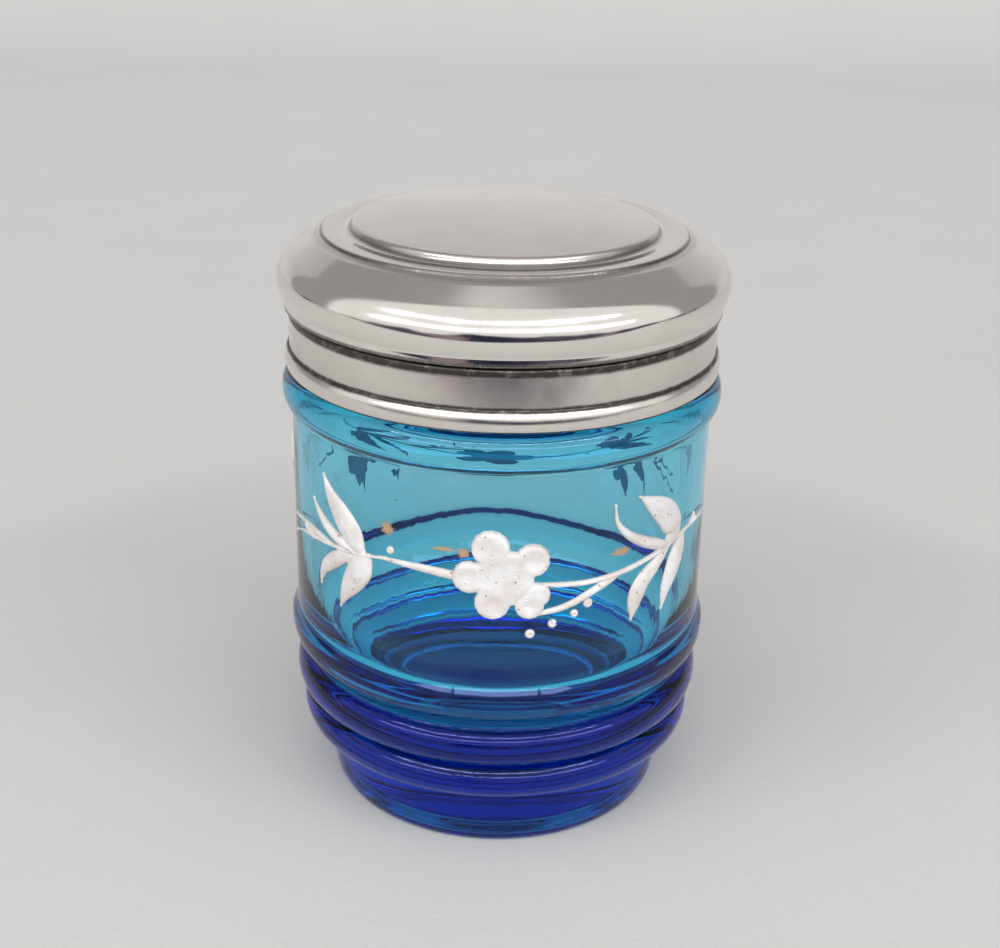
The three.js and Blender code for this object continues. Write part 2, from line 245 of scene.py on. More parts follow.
# %% [markdown]
# Real moulded glass is never quite even: the hot gather slumps a little before it sets. Each point is moved
# in or out by smooth noise, more on the inside, where no mould touched it. The rings get finer waves as
# well. All the bends are shallow, so they show only as wobbling reflections and bent lines behind the wall.

# %% Make surfaces uneven


def uneven(shape, amount, size, keep, seed):
    """Moves each point out or in by noise of this height and patch size in millimetres, where keep says."""
    for vertex in shape.verts:
        radius = math.hypot(vertex.co.x, vertex.co.y)
        if radius < 0.5 * mm:
            continue
        level = noise.noise(vertex.co / (size * mm) + Vector((seed, seed, seed)))
        change = 1 + amount * mm * level * keep(vertex.co / mm) / radius
        vertex.co.x *= change
        vertex.co.y *= change


def inside_share(point):
    """1 on the jar's inner wall and 0 on its outside."""
    radius = math.hypot(point.x, point.y)
    return 1.0 if 15 < point.z < 74 and radius < (29.35 if point.z > 30 else 27) else 0.0


def below_neck_share(point):
    """1 between the foot's edge and the neck."""
    return 1.0 if 2 < point.z < 68 else 0.0


def rings_share(point):
    """1 on the rings near the foot, and on the wide part of the bowl behind them."""
    return 1.0 if 11 < point.z < 30 and point.length > 29 else 0.0


glass_shape = spun(glass_section)
for wave_height, patch_size, keep, seed in (
    (0.16, 14, inside_share, 3.1), (0.05, 9, below_neck_share, 7.7), (0.03, 5, rings_share, 2.2),
):
    uneven(glass_shape, wave_height, patch_size, keep, seed)
print("glass shape has", len(glass_shape.verts), "points")

# %% [markdown]
# Glass needs two things here. The surface is clear and mirror-smooth apart from faint ripples, with fine
# upright streaks on the panel. The volume absorbs red most, green less and blue hardly at all, for each
# millimetre that light travels. Its density and colour are set straight on the Volume Absorption node,
# because they are the same everywhere in the melt.

# %% Blue glass
blue_glass, tree, surface = new_material("blue_glass")
surface.inputs["Base Color"].default_value = (1, 1, 1, 1)
surface.inputs["Transmission Weight"].default_value = 1.0
surface.inputs["IOR"].default_value = 1.5
surface.inputs["Roughness"].default_value = 0.0
surface.inputs["Specular IOR Level"].default_value = 0.5
surface.inputs["Specular Tint"].default_value = (0.5, 0.58, 1, 1)
place = node(tree, "TexCoord").outputs["Object"]
ripple = noise_of(tree, place, 7, 2, 0.5, (1, 1, 0.6))
streaks = noise_of(tree, place, 1.3, 1, 0.5, (1, 1, 0.3))
wave_share = 0.014
on_panel = ramp_of(tree, node(tree, "SeparateXYZ", Vector=place).outputs["Z"], 0.028, 0.034)
streaks = calc(tree, "MULTIPLY", streaks, calc(tree, "MULTIPLY", on_panel, wave_share))
relief = calc(tree, "ADD", calc(tree, "MULTIPLY", ripple, wave_share), streaks)
bump = node(tree, "Bump", Strength=1.0, Distance=0.001, Height=relief)
tree.links.new(bump.outputs[0], surface.inputs["Normal"])
absorbed = {"red": 0.33, "green": 0.064, "blue": 0.014}
deepest_share = 0.98
density = max(absorbed.values()) / deepest_share
let_through = (*(1 - k / density for k in absorbed.values()), 1)
melt = node(tree, "VolumeAbsorption", Density=density / mm, Color=let_through)
tree.links.new(melt.outputs[0], tree.nodes["Material Output"].inputs["Volume"])

# %% [markdown]
# A few worn scraps of gilding are left on the wall above the stems. Each is a ragged patch at a place given
# as [arc, height] and half sizes in millimetres. A few dark seeds, specks of trapped ash, are scattered in
# the skin of the glass as well. Both are mixed over the glass by a mask.

# %% Gilding and seeds
scraps = ((-16.0, 52.0, 1.5, 1.2), (-4.7, 50.2, 1.3, 1.0), (-7.4, 50.5, 2.4, 0.45), (17.9, 48.8, 3.6, 0.9))
half_depth, seed_spacing = 1.2, 6.5
patchy = noise_of(tree, place, 0.45, 4, 0.7, (1, 1, 1.6))
mask = 0.0
for arc, height, half_width, half_height in scraps:
    angle = arc / panel_radius
    middle = Vector((panel_radius * math.sin(angle), -panel_radius * math.cos(angle), height))
    size = Vector((1 / half_width, 1 / half_depth, 1 / half_height))
    offset = node(tree, "Mapping", Vector=place, Location=-middle * size, Scale=size / mm).outputs[0]
    away = node(tree, "VectorMath", {"operation": "LENGTH"}, s0=offset).outputs["Value"]
    ragged_edge = calc(tree, "ADD", away, calc(tree, "MULTIPLY", patchy, 2.4))
    mask = calc(tree, "MAXIMUM", mask, ramp_of(tree, ragged_edge, 2.0, 1.7))
gilt = between(tree, patchy, (0.22, 0.12, 0.07, 1), (0.74, 0.54, 0.34, 1))
gilding = node(tree, "BsdfPrincipled", Base_Color=gilt, Metallic=0.5, Roughness=0.45)
gilt_glass = node(tree, "MixShader", s0=mask, s1=surface.outputs[0], s2=gilding.outputs[0])
cells = node(tree, "TexVoronoi", Vector=place, Scale=1 / (seed_spacing * mm), Randomness=1.0)
seeds = ramp_of(tree, cells.outputs["Distance"], 0.024, 0.014)
ash = node(tree, "BsdfPrincipled", Base_Color=(0.01, 0.02, 0.09, 1), Roughness=0.4)
seedy_glass = node(tree, "MixShader", s0=seeds, s1=gilt_glass.outputs[0], s2=ash.outputs[0])
tree.links.new(seedy_glass.outputs[0], tree.nodes["Material Output"].inputs["Surface"])
put_down("glass_body", glass_shape, blue_glass, "jar", ["glass_jar"])

# %% [markdown]
# Silver-plated metal that is polished by hand stays bright on whatever sticks out and darkens wherever a
# cloth can't reach. Three causes are mixed: a tarnish that is told where to sit by height, cloudy smudges,
# and fine scratches, which are noise stretched into threads in several directions. Grooves, where given,
# get painted shade as well as tarnish: a darker colour round their radius that stands in for the dark line
# that each step mirrors.

# %% Plated metal


def scratches_of(tree, place, size, length, turns, low, high):
    """Fine lines in several directions, 1 on a line."""
    total = None
    for index, turn in enumerate(turns):
        threads = noise_of(
            tree, place, size, 1, 0.5, stretch=(1, 1 / length, 1 / length),
            turn=(0, 0, math.radians(turn)), shift=(0.01 * index, 0, 0),
        )
        lines = steps_of(tree, threads, [(low, 0.0), (high, 1.0)])
        total = lines if total is None else calc(tree, "MAXIMUM", total, lines)
    return total


def plated(
    name, clean, tarnish_and_shade, dirt_stops, low_height, high_height, shine, smudge_size, ragged=0.035, grooves=(),
    worn=1.0,
):
    """Worn plate. dirt_stops give the tarnishing from 0 to 1 at shares of a height range in millimetres.
    Each groove adds painted shade with some tarnishing round a [radius, half width, strength]: a darker
    colour that stands in for the dark line its step mirrors."""
    material, tree, surface = new_material(name)
    place = node(tree, "TexCoord").outputs["Object"]
    height = node(tree, "SeparateXYZ", Vector=place).outputs["Z"]
    share = ramp_of(tree, height, low_height * mm, high_height * mm)
    uneven_edge = calc(tree, "MULTIPLY", calc(tree, "SUBTRACT", noise_of(tree, place, 2.2, 3), 0.5), ragged)
    tarnish_and_groove_shade = steps_of(tree, calc(tree, "ADD", share, uneven_edge), dirt_stops, False)
    patches = steps_of(tree, noise_of(tree, place, 1.3, 4, 0.65), [(0.3, 0.8), (0.5, 1.0)])
    tarnish_and_groove_shade = calc(tree, "MULTIPLY", tarnish_and_groove_shade, patches)
    flat = node(tree, "VectorMath", {"operation": "MULTIPLY"}, s0=place, s1=(1, 1, 0)).outputs[0]
    radius = node(tree, "VectorMath", {"operation": "LENGTH"}, s0=flat).outputs["Value"]
    # Painted shade: each groove darkens the colour round its radius, with some tarnish, standing in for the
    # dark line that its step mirrors.
    for middle, half_width, strength in grooves:
        away = calc(tree, "ABSOLUTE", calc(tree, "SUBTRACT", radius, middle * mm))
        near = calc(tree, "MULTIPLY", ramp_of(tree, away, half_width * mm, 0.0), strength)
        tarnish_and_groove_shade = calc(tree, "MAXIMUM", tarnish_and_groove_shade, calc(tree, "MULTIPLY", near, patches))
    smudge = steps_of(tree, noise_of(tree, place, smudge_size, 4, 0.6), [(0.35, 0.0), (0.7, 1.0)])
    scratches = scratches_of(tree, place, 0.09, 60, (12, 67, 118, 160), 0.68, 0.76)
    lines = calc(tree, "MULTIPLY", scratches, worn)
    colour = between(tree, calc(tree, "MULTIPLY", smudge, 0.22), (*clean, 1), (*(0.72 * c for c in clean), 1))
    # Tarnish by height, and painted shade in the grooves, darken the colour here.
    colour = between(tree, calc(tree, "MULTIPLY", tarnish_and_groove_shade, 0.92), colour, (*tarnish_and_shade, 1))
    tree.links.new(colour, surface.inputs["Base Color"])
    surface.inputs["Metallic"].default_value = 1.0
    rough = calc(tree, "MULTIPLY_ADD", smudge, 0.10)
    rough.node.inputs[2].default_value = shine
    rough = calc(tree, "ADD", rough, calc(tree, "MULTIPLY", lines, 0.05))
    rough = calc(tree, "ADD", rough, calc(tree, "MULTIPLY", tarnish_and_groove_shade, 0.2), True)
    tree.links.new(rough, surface.inputs["Roughness"])
    grain = noise_of(tree, place, 0.12, 2)
    relief = calc(tree, "ADD", calc(tree, "MULTIPLY", lines, -0.5), calc(tree, "MULTIPLY", grain, 0.25))
    bump = node(tree, "Bump", Strength=0.08, Distance=0.00001, Height=relief)
    tree.links.new(bump.outputs[0], surface.inputs["Normal"])
    return material


# %% [markdown]
# The collar is a spun band with a rolled bead at its foot. Handling has dented it very slightly, which
# shows in its reflections. Tarnish sits above the bead and under the lid.

# %% Collar
collar_foot, collar_top, collar_radius, collar_inside = 67.7, 76.6, 31.3, 30.5
bead_height, bead_bulge = 3.1, 0.7
collar_dirt = [
    (0.0, 0.4), (0.03, 0.0), (0.31, 0.0), (0.34, 1.0), (0.385, 1.0), (0.42, 0.15), (0.83, 0.04), (0.88, 1.0),
]
collar_plate = plated(
    "collar_plate", (0.78, 0.75, 0.71), (0.014, 0.009, 0.007), collar_dirt, collar_foot, collar_top,
    shine=0.17, smudge_size=6.0, worn=0.2,
)
collar_outline = (
    [(collar_inside, collar_foot)]
    + swelling(collar_foot, bead_height, collar_radius, bead_bulge, 16)
    + [(collar_radius, 76.2), (31.2, 76.45), (30.9, collar_top), (mouth_radius, collar_top)]
    + [(mouth_radius, 75.8), (collar_inside, 75.8), (collar_inside, collar_foot)]
)


def outside_share(point):
    """1 on the collar's outside."""
    return 1.0 if math.hypot(point.x, point.y) > 31 else 0.0


collar_shape = spun(softened(collar_outline, step=0.16, blur=0.1))
uneven(collar_shape, 0.07, 6, outside_share, 1.3)
put_down("collar_band", collar_shape, collar_plate, "jar", ["collar"])

# %% [markdown]
# The lid shell is one sheet, spun over a chuck: a fat rolled edge, a plain slope, two narrow steps and a
# low domed disc. The section goes up the outside and comes back down the inside, so the sheet has its
# thickness.

# %% Lid shell
lid_foot, lid_top, sheet_thickness = 76.9, 90.0, 0.9
# The lid's grooves get painted shade with some tarnish: a dark ring at each step that stands in for the dark
# line the step mirrors.
lid_plate = plated(
    "lid_plate", (0.82, 0.79, 0.75), (0.1, 0.075, 0.07), [(0.0, 1.0), (0.03, 0.8), (0.045, 0.0)],
    lid_foot, lid_top, shine=0.08, smudge_size=12.0, ragged=0.008,
    grooves=[(22.2, 0.5, 0.9), (26.42, 0.35, 1.0), (27.0, 0.7, 0.3)],
)
roll_centre, roll_radius = (28.36, lid_foot + 4), 4.45
disc_radius, disc_rise = 21.4, 1.2
# From the slope's end up over the outer step, across the ledge and up to the disc's edge.
lid_steps = [
    (27.7, 9.87), (27.3, 9.98), (26.85, 10.12), (26.45, 10.34), (26.36, 10.62), (26.1, 10.75),
    (24.3, 10.74), (23.6, 10.66), (23.0, 10.62), (22.55, 10.74), (22.2, 10.98), (22.02, 11.3),
    (21.9, 11.6), (21.7, 11.8), (disc_radius, 11.9),
]
lid_outside = (
    [(31.0, lid_foot), (31.9, lid_foot), (31.9, lid_foot + 0.7)]
    + oval(roll_centre, roll_radius, roll_radius, -38, 57.4, 40)
    + [(radius, lid_foot + height) for radius, height in lid_steps]
    + [(disc_radius * s, lid_foot + 13.1 - disc_rise * s ** 2) for s in (0.9, 0.8, 0.65, 0.5, 0.35, 0.2, 0.1)]
    + [(0, lid_foot + 13.1)]
)
lid_inside = (
    [(0, lid_foot + 12.2), (11, lid_foot + 11.9), (21, lid_foot + 11.0), (21, lid_foot + 9.65)]
    + [(25.5, lid_foot + 9.65), (25.6, lid_foot + 8.95), (27.2, lid_foot + 8.9)]
    + oval(roll_centre, roll_radius - sheet_thickness, roll_radius - sheet_thickness, 57.4, -38, 24)
    + [(31.0, lid_foot + 0.7), (31.0, lid_foot)]
)


def slope_share(point):
    """0 on the disc, growing to 1 on the slope and the rolled edge."""
    return min(1.0, max(0.0, (math.hypot(point.x, point.y) - 24) / 4))


lid_shape = spun(softened(lid_outside[::-1] + lid_inside[::-1], step=0.2, blur=0.08))
uneven(lid_shape, 0.06, 8, slope_share, 5.5)
put_down("lid_sheet", lid_shape, lid_plate, "lid", ["lid_shell"])

# %% [markdown]
# Under the lid a soldered ring closes the roll and goes down into the mouth. It was never polished, so it
# is duller, and its colour darkens towards its top, inside the lid's roll.

# %% Guide ring
guide_foot, guide_top, guide_inside = 72.2, 77.6, 26.6
inner_metal = plated(
    "inner_metal", (0.5, 0.47, 0.42), (0.12, 0.09, 0.06), [(0.0, 0.3), (0.5, 0.25), (0.85, 0.8), (1.0, 0.9)],
    guide_foot, guide_top, shine=0.38, smudge_size=5.0,
)
guide_outline = [
    (guide_inside, guide_foot), (27.3, guide_foot), (27.3, lid_foot), (30.9, lid_foot), (30.9, guide_top),
    (guide_inside, guide_top), (guide_inside, guide_foot),
]
guide_shape = spun(softened(guide_outline, step=0.12, blur=0.08), 160)
put_down("lid_ring", guide_shape, inner_metal, "lid", ["lid_guide_ring"])

# %% [markdown]
# The cement between neck and collar is hidden from outside, and is seen only dimly through the neck's glass
# when the lid is off. Its CAD shape is right, so it stays and gets a gritty plaster.

# %% Cement
cement, tree, surface = new_material("cement")
place = node(tree, "TexCoord").outputs["Object"]
mottle = noise_of(tree, place, 1.5, 5)
colour = between(tree, mottle, (0.36, 0.31, 0.24, 1), (0.62, 0.57, 0.48, 1))
tree.links.new(colour, surface.inputs["Base Color"])
surface.inputs["Roughness"].default_value = 0.95
grit = noise_of(tree, place, 0.3, 3)
bump = node(tree, "Bump", Strength=0.6, Distance=0.0002, Height=grit)
tree.links.new(bump.outputs[0], surface.inputs["Normal"])
cement_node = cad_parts["cement_ring"]
cement_node.data.materials.clear()
cement_node.data.materials.append(cement)
print("cement_ring keeps its CAD shape")

# %% [markdown]
# The enamel was laid on with a brush as a thick paste and then fired. It is built flat, on a sheet that
# stands for the unrolled wall: a petal is a bead, and a stroke is a loop that is extruded along its path
# with a bead at each end. A voxel remesh melts them together, as the kiln did. Only then is the sheet
# wrapped round the glass, which keeps the building simple.

# %% Beads of paste
garland_reach, garland_rise, garland_line = 41.03, 9.8, 46.736
garland_turn = 1.0 / panel_radius
flower_radius, leaf_width, leaf_lift, thinnest_hair = 7.3, 4.6, 0.8, 0.16


def bead(paste, x, y, half_width, lift):
    """One flattened bead on the unrolled wall, in millimetres."""
    size = Matrix.Diagonal((half_width * mm, half_width * mm, lift * mm, 1))
    here = Matrix.Translation((x * mm, y * mm, 0)) @ size
    bmesh.ops.create_uvsphere(paste, u_segments=14, v_segments=8, radius=1, matrix=here)


def smooth_path(points, count):
    """Points at even shares of a smooth curve through the given ones."""
    ends = [2 * points[0] - points[1], *points, 2 * points[-1] - points[-2]]
    fine = []
    for a, b, c, d in zip(ends, ends[1:], ends[2:], ends[3:]):
        for i in range(24):
            t = i / 24
            square, cube = (2 * a - 5 * b + 4 * c - d) * t ** 2, (3 * b - a - 3 * c + d) * t ** 3
            fine.append(0.5 * (2 * b + (c - a) * t + square + cube))
    fine = np.array([*fine, points[-1]])
    along = np.r_[0, np.cumsum(np.hypot(*np.diff(fine, axis=0).T))]
    places = np.linspace(0, along[-1], count)
    return np.c_[np.interp(places, along, fine[:, 0]), np.interp(places, along, fine[:, 1])]


def stroke(paste, path, width_share, fullest, start, end, lift_share, count=28):
    """A brush stroke that swells to its full width at a share of its length and thins to its ends."""
    line = smooth_path([np.array((x * garland_reach, y * garland_rise)) for x, y in path], count)
    forward = np.gradient(line, axis=0)
    before = Matrix.Identity(4)
    loop = bmesh.ops.create_circle(paste, cap_ends=True, segments=12, radius=1)["verts"]
    first = loop
    for i, ((x, y), (fx, fy)) in enumerate(zip(line, forward)):
        along = i / (count - 1)
        rising = along < fullest
        swell = along / fullest if rising else (1 - along) / (1 - fullest)
        thinnest = start if rising else end
        full = thinnest + (1 - thinnest) * math.sin(swell * math.pi / 2)
        width, lift = leaf_width * width_share * full / 2, leaf_lift * (0.3 + 0.7 * full) * lift_share
        size = Matrix.Diagonal((max(width, thinnest_hair) * mm, lift * mm, 1, 1))
        upright = Matrix.Rotation(math.radians(90), 4, "X")
        turned = Matrix.Rotation(math.atan2(fy, fx) + math.radians(90), 4, "Z")
        here = Matrix.Translation((x * mm, y * mm, 0)) @ turned @ upright @ size
        if i:
            edges = list({
                edge for vertex in loop for edge in vertex.link_edges if edge.other_vert(vertex) in loop
            })
            grown = bmesh.ops.extrude_edge_only(paste, edges=edges)["geom"]
            loop = [part for part in grown if isinstance(part, bmesh.types.BMVert)]
        bmesh.ops.transform(paste, matrix=here @ before.inverted(), verts=loop)
        before = here
    bmesh.ops.contextual_create(paste, geom=loop)
    bmesh.ops.recalc_face_normals(paste, faces=paste.faces)
    for end_loop in (first, loop):
        middle = sum((vertex.co for vertex in end_loop), Vector()) / len(end_loop)
        top = max(vertex.co.z for vertex in end_loop) / mm
        bead(paste, middle.x / mm, middle.y / mm, top, top)


# %% [markdown]
# Fusing needs a temporary object, because Remesh is a modifier. Its result is smoothed a little, and
# everything under the wall's surface is pressed flat against the glass. Small pits and shallow waves
# follow, as fired paste has, and then each point's arc becomes an angle round the jar. Remesh leaves every
# face turned outwards and the wrap keeps them so, so they aren't worked out again: on a thin curved spray
# that can guess wrong and turn the whole skin inside out.

# %% Fuse, fire and wrap


def fused(paste, voxel=0.11):
    """The beads melted into one skin."""
    mesh = bpy.data.meshes.new("paste")
    paste.to_mesh(mesh)
    paste.free()
    lump = bpy.data.objects.new("paste", mesh)
    bpy.context.scene.collection.objects.link(lump)
    remesh = lump.modifiers.new("melt", "REMESH")
    remesh.mode = "VOXEL"
    remesh.voxel_size = voxel * mm
    bpy.context.view_layer.update()
    melted = bpy.data.meshes.new_from_object(lump.evaluated_get(bpy.context.evaluated_depsgraph_get()))
    bpy.data.objects.remove(lump)
    skin = bmesh.new()
    skin.from_mesh(melted)
    bpy.data.meshes.remove(melted)
    bpy.data.meshes.remove(mesh)
    return skin


def fired(skin, turn, pits=0.12, waves=0.10):
    """Smooths and dimples the fused paste, then wraps it round the wall at a turn in radians."""
    for _ in range(3):
        bmesh.ops.smooth_vert(
            skin, verts=skin.verts, factor=0.5, use_axis_x=True, use_axis_y=True, use_axis_z=True,
        )
    for vertex in skin.verts:
        x, y, lift = vertex.co / mm
        if lift > 0.05:
            spot = Vector((x, y, 4.2 * turn))
            wave = noise.noise(spot * 0.75) * waves
            grain = noise.noise(spot * 2.6) * 0.25 * waves
            pit = max(0.0, noise.noise(spot * 1.9 + Vector((9, 4, 2))) - 0.42) * pits * 4
            lift = max(0.03, lift * (1 + wave + grain) - pit)
        else:
            lift = max(lift, -0.02)
        angle = x / panel_radius + turn + garland_turn
        radius = (panel_radius + lift) * mm
        vertex.co = (radius * math.sin(angle), -radius * math.cos(angle), (garland_line + y) * mm)
    return skin


# %% [markdown]
# Fired enamel is a milky white glaze. It is nearly even, a touch warmer in soft cloudy patches, and the
# antique one has brown pinholes and rust-coloured stains. A little gloss comes from a clear coat.

# %% White enamel
white_enamel, tree, surface = new_material("white_enamel")
place = node(tree, "TexCoord").outputs["Object"]
cloud = noise_of(tree, place, 3.5, 4)
cloud = steps_of(tree, cloud, [(0.3, 0.0), (0.7, 1.0)])
colour = between(tree, cloud, (0.57, 0.53, 0.51, 1), (0.67, 0.67, 0.69, 1))
stain = noise_of(tree, place, 2.4, 5, 0.7, shift=(0.013, 0.004, 0.02))
stain = steps_of(tree, stain, [(0.66, 0.0), (0.78, 1.0)])
colour = between(tree, calc(tree, "MULTIPLY", stain, 0.55), colour, (0.55, 0.24, 0.09, 1))
cells = node(tree, "TexVoronoi", Vector=place, Scale=1 / (1.1 * mm), Randomness=1.0)
speck = steps_of(tree, cells.outputs["Distance"], [(0.11, 1.0), (0.16, 0.0)])
rare = steps_of(tree, noise_of(tree, place, 2.0, 1, shift=(0.02, 0.01, 0)), [(0.46, 0.0), (0.5, 1.0)])
speck = calc(tree, "MULTIPLY", speck, rare)
colour = between(tree, calc(tree, "MULTIPLY", speck, 0.85), colour, (0.20, 0.09, 0.05, 1))
tree.links.new(colour, surface.inputs["Base Color"])
rough = steps_of(tree, noise_of(tree, place, 1.2, 3), [(0.3, 0.28), (0.7, 0.5)])
tree.links.new(rough, surface.inputs["Roughness"])
surface.inputs["Coat Weight"].default_value = 0.25
surface.inputs["Coat Roughness"].default_value = 0.2
relief = calc(tree, "SUBTRACT", noise_of(tree, place, 0.5, 3), calc(tree, "MULTIPLY", speck, 0.8))
bump = node(tree, "Bump", Strength=0.35, Distance=0.00006, Height=relief)
tree.links.new(bump.outputs[0], surface.inputs["Normal"])

# %% [markdown]
# The painter's garland: a flower of six plump petals round a middle, and on each side a branch of thin
# stems and pointed leaves. A petal is given as [arc, height, radius] in shares of the flower's radius, and
# a dot in shares of the garland's reach and rise. A stroke is a path from its root to its tip in shares of
# reach and rise, the share of a leaf's width that it has, the place where it is fullest, and what kind of
# ends and lift it has.

# %% The garland's strokes
petals = [
    (-0.03, 0, 0.6), (-0.28, 0.61, 0.37), (0.5, 0.37, 0.34), (-0.67, 0.01, 0.33),
    (-0.23, -0.49, 0.35), (0.46, -0.55, 0.29), (0.61, -0.34, 0.25),
]
# How full the root and the tip are, and the lift.
stem, blunt_stem, leaf = (0.6, 0.5, 0.7), (0.6, 0.3, 0.7), (0.35, 0.05, 1)
left_strokes = [
    ([(-0.12, -0.02), (-0.25, 0.04), (-0.34, 0.06), (-0.44, 0.07)], 0.31, 0.15, *blunt_stem),
    (
        [(-0.42, 0.07), (-0.55, 0), (-0.67, -0.04), (-0.79, -0.1), (-0.89, -0.17), (-0.99, -0.33)],
        0.14, 0.4, *stem,
    ),
    ([(-0.66, -0.04), (-0.79, 0.03), (-0.87, 0.02), (-0.98, -0.05)], 0.14, 0.1, *stem),
    ([(-0.74, -0.07), (-0.8, -0.07), (-0.88, 0.02)], 0.28, 0.5, *leaf),
    ([(-0.52, 0.03), (-0.56, 0.25), (-0.615, 0.49), (-0.68, 0.76), (-0.717, 1)], 0.93, 0.3, *leaf),
    ([(-0.55, 0.01), (-0.64, 0.12), (-0.71, 0.26), (-0.76, 0.41), (-0.79, 0.53)], 0.35, 0.4, *leaf),
    ([(-0.55, -0.06), (-0.615, -0.15), (-0.68, -0.33), (-0.727, -0.52), (-0.75, -0.78)], 0.57, 0.45, *leaf),
    ([(-0.49, 0.03), (-0.52, -0.16), (-0.555, -0.4), (-0.6, -0.68), (-0.63, -0.96)], 0.95, 0.28, *leaf),
]
right_strokes = [
    (
        [
            (0.09, -0.1), (0.21, -0.14), (0.29, -0.15), (0.41, -0.11), (0.53, -0.03), (0.65, 0.05),
            (0.73, 0.12), (0.8, 0.14), (0.85, 0.14), (0.94, 0.12), (1, 0.09),
        ],
        0.18, 0.1, *stem,
    ),
    (
        [(0.08, -0.57), (0.18, -0.51), (0.24, -0.43), (0.29, -0.33), (0.35, -0.22), (0.41, -0.13)],
        0.26, 0.8, *blunt_stem,
    ),
    ([(0.8, 0.14), (0.815, 0.2), (0.83, 0.27)], 0.16, 0.5, *leaf),
    ([(0.64, 0.05), (0.668, 0.26), (0.632, 0.52), (0.566, 0.74), (0.48, 0.98)], 1, 0.32, *leaf),
    ([(0.64, 0.05), (0.56, 0.17), (0.5, 0.28), (0.434, 0.46), (0.39, 0.68), (0.38, 0.94)], 0.4, 0.25, *leaf),
    ([(0.735, 0.1), (0.702, -0.18), (0.67, -0.43), (0.64, -0.67), (0.622, -0.96)], 0.8, 0.35, *leaf),
    ([(0.64, 0.04), (0.583, -0.15), (0.517, -0.35), (0.485, -0.57), (0.468, -0.93)], 0.66, 0.65, *leaf),
]
side_leaf = ([(0, 0.28), (0.02, 0.55), (0, 0.8), (-0.03, 1.06)], 0.6, 0.35, *leaf)
dots = [
    (0.288, -0.48, 1), (0.239, -0.61, 0.84), (0.163, -0.73, 0.9), (0.087, -0.87, 0.96), (-0.4, 0.22, 0.82),
]
print(len(petals) - 1, "petals,", len(left_strokes + right_strokes), "strokes and", len(dots), "dots a side")

# %% [markdown]
# Front and back carry the same garland, half a turn apart, and one leaf fills each side where they meet.
# The petals' beads are built tall and then pressed to one low, even lift, with a hollow in each. A dot is a
# drop that dried with a dimple in its top, so it is fused thinner in the middle.

# %% Petals and drops
petal_dome, petal_lift, petal_softness, petal_hollow = 2.4, 1.0, 1.1, 0.3
dot_radius, dot_lift, dot_hollow = 0.75, 0.5, 0.22


def flower():
    """The fused flower on the unrolled wall."""
    paste = bmesh.new()
    for x, y, radius in petals:
        bead(paste, x * flower_radius, y * flower_radius, radius * flower_radius, petal_dome)
    skin = fused(paste)
    for vertex in skin.verts:
        hollow = 0.0
        for x, y, radius in petals[:-1]:
            away = math.hypot(vertex.co.x / mm - x * flower_radius, vertex.co.y / mm - y * flower_radius)
            hollow = max(hollow, math.exp(-(away / (0.5 * radius * flower_radius)) ** 2))
        pressed = petal_lift * math.tanh(vertex.co.z / (petal_softness * mm))
        vertex.co.z = mm * pressed * (1 - petal_hollow * hollow)
    return skin


def drop(x, y, radius):
    """One fused drop with a dimple in its top."""
    paste = bmesh.new()
    bead(paste, x * garland_reach, y * garland_rise, radius * dot_radius, dot_lift)
    skin = fused(paste, 0.08)
    for vertex in skin.verts:
        off_x, off_y = vertex.co.x - x * garland_reach * mm, vertex.co.y - y * garland_rise * mm
        away = math.hypot(off_x, off_y) / (dot_radius * radius * mm)
        vertex.co.z -= dot_hollow * mm * math.exp(-(away / 0.35) ** 2) if vertex.co.z > 0 else 0
    return skin


def branch(strokes):
    """Strokes fused into one."""
    paste = bmesh.new()
    for values in strokes:
        stroke(paste, *values)
    return fused(paste)


# %% [markdown]
# Every piece of enamel is laid in the same way: wrapped at its turn round the jar and given the enamel, and
# its own CAD node, whose name is its own with the word enamel before it, is hidden.

# %% Lay the enamel


def lay(name, skin, turn):
    """Wraps one piece of enamel round the jar."""
    put_down(name, fired(skin, turn), white_enamel, "jar", [f"enamel_{name}"])


for side, turn in (("front", 0.0), ("back", math.pi)):
    lay(f"flower_{side}", flower(), turn)
    lay(f"branch_left_{side}", branch(left_strokes), turn)
    lay(f"branch_right_{side}", branch(right_strokes), turn)
    for number, dot in enumerate(dots, 1):
        lay(f"dot_{side}_{number}", drop(*dot), turn)
for hand, turn in (("left", -math.pi / 2), ("right", math.pi / 2)):
    lay(f"leaf_{hand}", branch([side_leaf]), turn - garland_turn)

# %% [markdown]
# The stage is a sheet of pale felt-like paper that sweeps up behind, as in a photographer's corner. It ends
# just outside the picture in front, so the metal mirrors the room past its edge. It is a little paler
# behind, where less light reaches it. Its grain is shallow bump at the scale of fibres.

# %% Stage
paper_half_width, paper_half_length, paper_middle = 1.4, 1.215, 1.0
sweep_start, sweep_radius = 0.75, 0.5
sheet = bmesh.new()
spread = Matrix.Diagonal((paper_half_width, paper_half_length, 1, 1))
laid = Matrix.Translation((0, paper_middle, 0)) @ spread
bmesh.ops.create_grid(sheet, x_segments=1, y_segments=80, size=1, matrix=laid)
for vertex in sheet.verts:
    beyond = vertex.co.y - sweep_start
    if beyond > 0:
        bend = min(beyond / sweep_radius, math.pi / 2)
        rest = max(0.0, beyond - sweep_radius * math.pi / 2)
        vertex.co.y = sweep_start + sweep_radius * math.sin(bend)
        vertex.co.z = sweep_radius * (1 - math.cos(bend)) + rest
bmesh.ops.recalc_face_normals(sheet, faces=sheet.faces)
paper, tree, surface = new_material("paper")
place = node(tree, "TexCoord").outputs["Object"]
fibre = noise_of(tree, place, 0.9, 5, 0.7)
broad = noise_of(tree, place, 60, 2)
